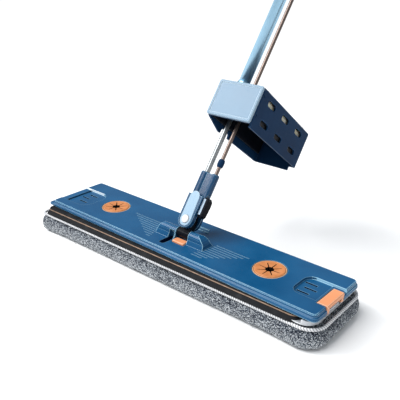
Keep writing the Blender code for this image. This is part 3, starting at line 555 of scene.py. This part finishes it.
# The bead's tan colour is a painted highlight along the strip's ridge.
bead_highlight = Finish("bead_painted_highlight", Roughness=0.5)
place = bead_highlight.place()
wander = bead_highlight.noise(place, 130.0, 3.0)
bead_highlight.feed(Base_Color=bead_highlight.ramp(wander, (0.3, (0.16, 0.095, 0.058)), (0.7, (0.30, 0.19, 0.125))),
         Normal=bead_highlight.bump(bead_highlight.noise(place, 1600.0), 0.0001, 0.5))
wear_finish(bead_highlight, "strip_bead")

# ---- Clamp discs and rims ----
# Soft orange rubber stars: a cloth's corner is poked through the slits. Each sits in a thin
# ring of paler orange, a painted highlight along its rim. Soft rubber: powdery, with moulding specks; inside
# the slits and the centre hole it is painted near-black as painted shade.
soft_orange = Finish("orange_soft_rubber", IOR=1.46)
place = soft_orange.place()
cloudy = soft_orange.noise(place, 120.0, 4.0)
pores = soft_orange.noise(place, 2400.0, 2.0)
rounded = soft_orange.add("ShaderNodeBevel", {"samples": 6}, {"Radius": 0.0005})
disc_height = soft_orange.add("ShaderNodeSeparateXYZ", None, {0: place}, out=2)
disc_along = soft_orange.add("ShaderNodeSeparateXYZ", None, {0: place}, out=0)
outboard = disc_along.math("ABSOLUTE", disc_along)
from_middle = outboard.math("ABSOLUTE", outboard - 0.1266)
# Painted shade: below the star's face, in the slits and the centre hole, the rubber is painted near-black.
under_the_star = disc_height.math("LESS_THAN", disc_height, 0.04265)
inside = under_the_star * from_middle.math("LESS_THAN", from_middle, 0.0165)
tint = soft_orange.ramp(cloudy, (0.30, (0.50, 0.175, 0.052)), (0.52, (0.57, 0.208, 0.068)),
                        (0.72, (0.63, 0.25, 0.092)))
soft_orange.feed(Base_Color=soft_orange.blend(inside, tint, (0.016, 0.010, 0.008)),
                 Roughness=0.40 + cloudy * 0.25,
                 Normal=soft_orange.bump(pores, 0.00009, 0.6, rounded))
wear_finish(soft_orange, "clamp_disc_left", "clamp_disc_right")
# The rings' paler orange is a painted highlight along their rims.
ring_highlight = moulded("ring_highlight_plastic", (0.62, 0.36, 0.20), (0.70, 0.44, 0.26), 0.38)
wear_finish(ring_highlight, "disc_rim_left", "disc_rim_right")

# ---- End latch and press tab ----
# The latch at the right end and the small tab before the hump are hard orange plastic,
# moulded in one piece each, with pale painted highlights along their edges.
wear_finish(moulded("orange_plastic", (0.76, 0.300, 0.135), (0.84, 0.350, 0.165), 0.32, edge=0.0009, pale_mix=0.7,
                    edge_highlight_colour=(0.94, 0.74, 0.58)), "end_latch", "press_tab")

# ---- Pins and knuckle ----
# The cross pin, latch pin and front pin are drawn steel; the knuckle is black nylon.
# Degrees about X that bring lines along Z into line with the pole.
pole_lean = -37.0


def drawn_steel(name, axis, tint=(0.56, 0.55, 0.54), roughness=0.22):
    """Bright drawn steel: lines run along the axis because the noise is squeezed across it."""
    finish = Finish(name, Metallic=1.0)
    stretch = tuple(18.0 if a else 1500.0 for a in axis)
    lean = math.radians(pole_lean) if axis[2] else 0.0
    draw = finish.noise(finish.place(stretch, (lean, 0.0, 0.0)), 1.0, 3.0)
    blotch = finish.noise(finish.place(), 55.0, 3.0)
    dark = tuple(0.62 * c for c in tint)
    bright = tuple(min(1.0, 1.25 * c) for c in tint)
    finish.feed(Base_Color=finish.blend(blotch * 0.5 + draw * 0.4, dark, bright),
                Roughness=roughness + draw * 0.14 + blotch * 0.06,
                Normal=finish.bump(draw, 0.00004, 0.5))
    return finish


wear_finish(drawn_steel("drawn_steel_pin", (1, 0, 0)), "lean_pin", "latch_pin", "flip_pin")
# The nylon's edges carry faint painted highlights.
nylon = moulded("black_nylon", (0.003, 0.004, 0.007), (0.005, 0.006, 0.010), 0.38, pale_mix=0.25,
                edge_highlight_colour=(0.12, 0.15, 0.20), gloss=0.06)
wear_finish(nylon, "knuckle")

# ---- Sleeve, inlay, pin cap and slider ----
# The blue sleeve clasps both rods; a pale blue inlay lies in its front, under the white cap
# of the front pin. The black slider runs in a seat on the right side; the strip along its front edge is
# coloured pale blue as a painted highlight.
# Sleeve and inlay: pale painted highlights along their edges.
wear_finish(moulded("blue_sleeve_plastic", (0.004, 0.040, 0.105), (0.008, 0.058, 0.140), 0.25, edge=0.0010,
                    pale_mix=0.6, edge_highlight_colour=(0.300, 0.550, 0.720), gloss=0.3), "sleeve")
wear_finish(moulded("sky_blue_plastic", (0.270, 0.410, 0.540), (0.320, 0.460, 0.590), 0.30, edge=0.0008,
                    pale_mix=0.6, edge_highlight_colour=(0.72, 0.84, 0.92)), "sleeve_face")
wear_finish(moulded("white_plastic", (0.64, 0.66, 0.68), (0.72, 0.73, 0.75), 0.30), "pin_cap")
# The slider's pale blue strip is a painted highlight on its front edge.
wear_finish(moulded("slider_edge_painted_highlight", (0.42, 0.56, 0.70), (0.50, 0.63, 0.76), 0.32), "slider_stripe")
wear_finish(nylon, "release_slider")

# ---- Rods and stop bead ----
# Two drawn steel rods: the left one, 6.6 mm thick, guides, and the right one, 4.8 mm, pulls. A
# small dark blue bead on the right one stops the box.
back_lean = next(joint for joint in frame["joints"] if joint["name"] == "lean")
travel = next(joint for joint in frame["joints"] if joint["name"] == "box_slide")
pole_up = -np.array(travel["axis"], float)
pole_back = np.array((0.0, pole_up[2], -pole_up[1]))
pole_foot = np.array((0.0, back_lean["pos_m"][1], back_lean["pos_m"][2]))


def on_pole(across, behind, along):
    """Points in the shared frame of places measured across, behind and along the pole from the
    cross pin: foot + across times X + behind times the pole's back + along times its own line."""
    across, behind, along = np.broadcast_arrays(across, behind, along)
    return (pole_foot + across[..., None] * np.array((1.0, 0.0, 0.0)) + behind[..., None] * pole_back
            + along[..., None] * pole_up)


def turned(name, profile, sides, across, finish, body, hollow=False):
    """A body of revolution about a line along the pole, across from its middle: x = r cos a,
    y = r sin a, z = z, for the profile's (r, z) pairs; a hollow profile is a closed loop."""
    profile = np.array(profile, float)
    angle = np.linspace(0.0, 2.0 * math.pi, sides, endpoint=False)[None, :]
    radius = profile[:, 0][:, None]
    grid = on_pole(across + radius * np.cos(angle), radius * np.sin(angle),
                   profile[:, 1][:, None] + 0.0 * angle)
    piece = surface(name, grid, along=hollow, caps=not hollow)
    piece.data.materials.append(finish.material)
    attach(piece, body)
    return piece


def eased(points, steps=5):
    """The profile with every corner drawn as a small curve: each stretch between midpoints of
    neighbouring sides is a quadratic curve whose middle control point is the corner."""
    points = np.array(points, float)
    middle = (points[1:] + points[:-1]) / 2.0
    t = np.linspace(0.0, 1.0, steps)[:, None]
    curve = [points[:1]]
    for a, b, c in zip(middle[:-1], points[1:-1], middle[1:]):
        curve.append((1 - t) ** 2 * a + 2 * t * (1 - t) * b + t ** 2 * c)
    curve.append(points[-1:])
    return np.concatenate(curve)


rod_steel = drawn_steel("drawn_steel_rod", (0, 0, 1), (0.30, 0.32, 0.33), 0.24)
brown_steel = drawn_steel("brown_drawn_steel_rod", (0, 0, 1), (0.20, 0.155, 0.135), 0.26)
guide_x, pull_x = 0.0032, 0.0170
rod_foot = 0.0365
for name, across, thick, top, metal in (("guide_rod", guide_x, 0.0033, 0.4200, rod_steel),
                                        ("pull_rod", pull_x, 0.0024, 0.6600, brown_steel)):
    chamfered = [(thick - 0.0005, rod_foot), (thick, rod_foot + 0.0005), (thick, top - 0.0005),
                 (thick - 0.0005, top)]
    rod = turned(name + "_bar", chamfered, 40, across, metal, "mast")
    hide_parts(name)
# Navy plastic with faint pale painted highlights along its edges.
navy = moulded("navy_plastic", (0.004, 0.022, 0.062), (0.006, 0.030, 0.080), 0.46, edge=0.0009, pale_mix=0.45,
               edge_highlight_colour=(0.06, 0.14, 0.28), gloss=0.05)
bead_profile = eased([(0.0025, 0.0896), (0.0033, 0.0896), (0.0041, 0.0918), (0.0042, 0.0947),
                      (0.0041, 0.0976), (0.0033, 0.0999), (0.0025, 0.0999)])
bead = turned("rod_stop_bead", bead_profile, 36, pull_x, navy, "mast", hollow=True)
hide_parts("stop_bead")

# ---- Wringer box and front panel ----
# A navy moulded box, open below, with drain slots in its side; a lighter blue panel with a raised
# rim is clipped on its front. Both have the gloss of moulded ABS, and pale painted highlights along their
# edges.
wear_finish(navy, "wringer_box")
wear_finish(moulded("panel_blue_plastic", (0.115, 0.215, 0.320), (0.138, 0.248, 0.360), 0.34, edge=0.0012,
                    pale_mix=0.8, edge_highlight_colour=(0.66, 0.80, 0.88)), "front_panel")
wear_finish(rod_steel, "box_screw_front", "box_screw_back", "roller_axle_upper", "roller_axle_lower")

# ---- Rollers and wiper bar ----
# A cream and a dark foam-rubber roller, each on a steel axle, press the pad against the wiper
# bar of the box. Open-celled foam: its pores show, and it is stained a little by dirty water.
foam = Finish("cream_roller_foam", Roughness=0.7, Subsurface_Weight=0.1)
place = foam.place()
cells = foam.add("ShaderNodeTexVoronoi", {"feature": "F1"}, {"Vector": place, "Scale": 1400.0})
stain = foam.noise(place, 70.0, 3.0)
foam.feed(Base_Color=foam.ramp(stain, (0.3, (0.60, 0.53, 0.38)), (0.7, (0.82, 0.77, 0.63))),
          Normal=foam.bump(cells, 0.0004, 0.6))
dark_foam = Finish("dark_roller_foam")
place = dark_foam.place()
dark_cells = dark_foam.add("ShaderNodeTexVoronoi", {"feature": "F1"}, {"Vector": place, "Scale": 1400.0})
damp = dark_foam.noise(place, 70.0, 3.0)
dark_foam.feed(Base_Color=dark_foam.ramp(damp, (0.3, (0.012, 0.012, 0.014)), (0.7, (0.035, 0.033, 0.033))),
               Roughness=0.6 + damp * 0.3, Normal=dark_foam.bump(dark_cells, 0.0004, 0.6))
roller_finish = {"upper": foam, "lower": dark_foam}
roller_x, roller_radius, bore_radius = 0.0405, 0.0072, 0.0022
groove_depth, groove_pitch = 0.0005, 0.0046
for word, along in (("upper", 0.1795), ("lower", 0.1555)):
    step = np.linspace(-0.0215, 0.1020, 90)[:, None]
    angle = np.linspace(0.0, 2.0 * math.pi, 40, endpoint=False)[None, :]
    wave = 0.5 + 0.5 * np.cos(step * 2.0 * math.pi / groove_pitch)
    outer = roller_radius - groove_depth * wave * np.ones_like(angle)
    skin = on_pole(roller_x + outer * np.cos(angle), step + 0.0 * angle, along + outer * np.sin(angle))
    bore = on_pole(roller_x + bore_radius * np.cos(angle), step[::-1] + 0.0 * angle,
                   along + bore_radius * np.sin(angle))
    roller = surface("wring_roller_" + word, np.concatenate([skin, bore]), along=True)
    roller.data.materials.append(roller_finish[word].material)
    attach(roller, "roller_" + word)
    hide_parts("squeeze_roller_" + word)
wear_finish(nylon, "wiper_bar")

# ---- Tube collar, handle tube and rod grommet ----
# The steel handle tube is lacquered a clear blue and flares into its collar on the box; the
# right rod comes out of the box through a small black grommet.
lacquer = Finish("blue_lacquered_tube", Metallic=0.75, Coat_Weight=0.5, Coat_Roughness=0.08)
place = lacquer.place()
drift = lacquer.noise(place, 30.0, 3.0)
peel = lacquer.noise(place, 700.0, 2.0)
worn = lacquer.noise(lacquer.place((260.0, 60.0, 60.0), (math.radians(pole_lean), 0.0, 0.0)), 1.0, 3.0)
mark = lacquer.span(worn, 0.60, 0.75, 0.0, 0.10)
clear_blue = lacquer.ramp(drift, (0.3, (0.280, 0.480, 0.630)), (0.7, (0.330, 0.540, 0.690)))
lacquer.feed(Base_Color=lacquer.blend(mark, clear_blue, (0.50, 0.66, 0.78)),
             Roughness=0.26 + drift * 0.10 + mark * 0.4, Normal=lacquer.bump(peel, 0.00003, 0.5))
tube_wall = [(0.0073, 0.1806), (0.0073, 1.1650), (0.0067, 1.1650), (0.0067, 0.1806)]
tube = turned("handle_tube_skin", tube_wall, 64, 0.0, lacquer, "carriage", hollow=True)
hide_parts("handle_tube")
wear_finish(lacquer, "tube_collar")
wear_finish(nylon, "rod_grommet")

# ---- Pull grip, top grip and hanging cap ----
# Closed-cell foam rubber grips with moulded finger rings, and a blue plastic cap with a hole
# for a hook. Foam rubber: matt, finely pitted, a little paler in patches.
grip_foam = Finish("black_grip_foam")
place = grip_foam.place()
pits = grip_foam.add("ShaderNodeTexVoronoi", {"feature": "F1"}, {"Vector": place, "Scale": 1100.0}, out=0)
pale_mix = grip_foam.noise(place, 80.0, 4.0)
grip_foam.feed(Base_Color=grip_foam.ramp(pale_mix, (0.3, (0.012, 0.012, 0.014)), (0.7, (0.040, 0.040, 0.044))),
               Roughness=0.72 + pale_mix * 0.2, Normal=grip_foam.bump(pits, 0.0005, 0.5))
wear_finish(grip_foam, "pull_grip", "top_grip")
wear_finish(blue, "hanging_cap")
